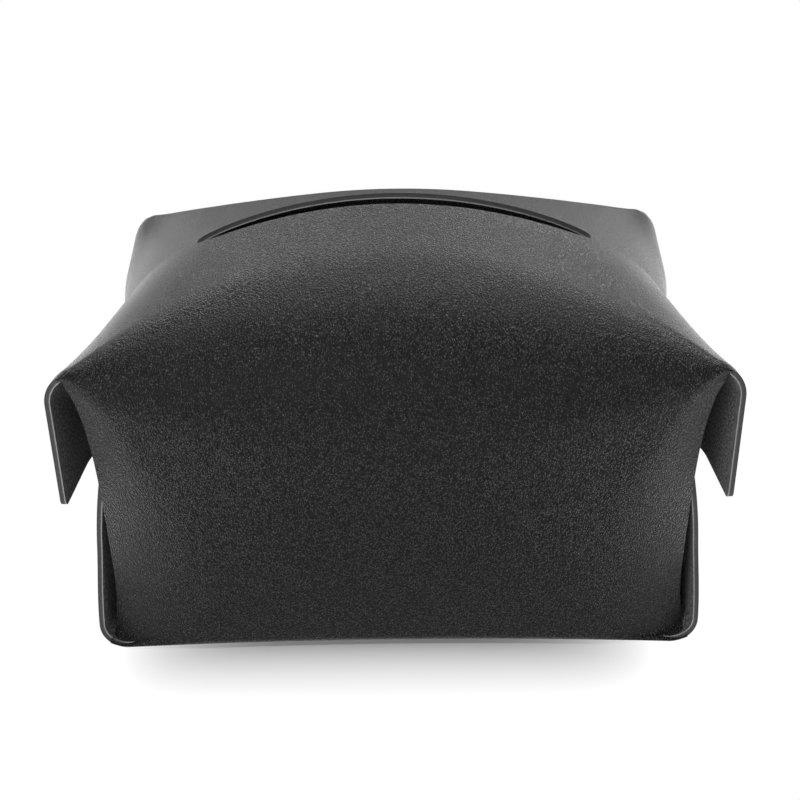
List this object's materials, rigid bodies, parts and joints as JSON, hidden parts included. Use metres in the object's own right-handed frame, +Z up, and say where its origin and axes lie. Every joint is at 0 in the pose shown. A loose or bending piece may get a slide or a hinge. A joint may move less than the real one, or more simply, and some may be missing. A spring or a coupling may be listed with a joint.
{
  "type": "tissue box cover",
  "caption": "Soft leather tissue cover with a long slot in its arched top and folded ends that open on snap fasteners",
  "frame": {"origin": "middle of the footprint, on the surface that the base stands on", "axes": "+X along the length, towards the right end in the picture; +Y towards the back; +Z up"},
  "size_m": [0.217, 0.1473, 0.134],
  "materials": {
    "leather": "pebbled, semi-matt, with a dark grey suede back",
    "cap": "satin black",
    "nickel": "nickel plated",
    "spring": "bright wire"
  },
  "bodies": {
    "cover": {"cover_sheet": "leather", "strip_rivet_post_1": "nickel", "strip_rivet_post_2": "nickel", "strip_rivet_post_3": "nickel", "strip_rivet_cap_1": "nickel", "strip_rivet_cap_2": "nickel", "strip_rivet_cap_3": "nickel"},
    "left_upper": {"left_upper_flap": "leather", "left_snap_cap": "cap", "left_snap_socket": "nickel", "left_snap_spring": "spring"},
    "left_lower": {"left_lower_flap": "leather", "left_snap_stud": "nickel", "left_snap_post": "nickel"},
    "right_upper": {"right_upper_flap": "leather", "right_snap_cap": "cap", "right_snap_socket": "nickel", "right_snap_spring": "spring"},
    "right_lower": {"right_lower_flap": "leather", "right_snap_stud": "nickel", "right_snap_post": "nickel"}
  },
  "joints": [
    {"name": "left_upper_fold", "type": "hinge", "parent": "cover", "child": "left_upper", "pos_m": [-0.10424, 0, 0.101], "axis": [0, 1, 0], "range_deg": [0, 140]},
    {"name": "left_lower_fold", "type": "hinge", "parent": "cover", "child": "left_lower", "pos_m": [-0.09896, 0, 0.00264], "axis": [0, -1, 0], "range_deg": [0, 42]},
    {"name": "right_upper_fold", "type": "hinge", "parent": "cover", "child": "right_upper", "pos_m": [0.10424, 0, 0.101], "axis": [0, -1, 0], "range_deg": [0, 140]},
    {"name": "right_lower_fold", "type": "hinge", "parent": "cover", "child": "right_lower", "pos_m": [0.09896, 0, 0.00264], "axis": [0, 1, 0], "range_deg": [0, 42]}
  ],
  "couplings": [
    {"joint": "left_lower_fold", "follows": "left_upper_fold", "ratio": 0.3},
    {"joint": "right_lower_fold", "follows": "right_upper_fold", "ratio": 0.3}
  ]
}
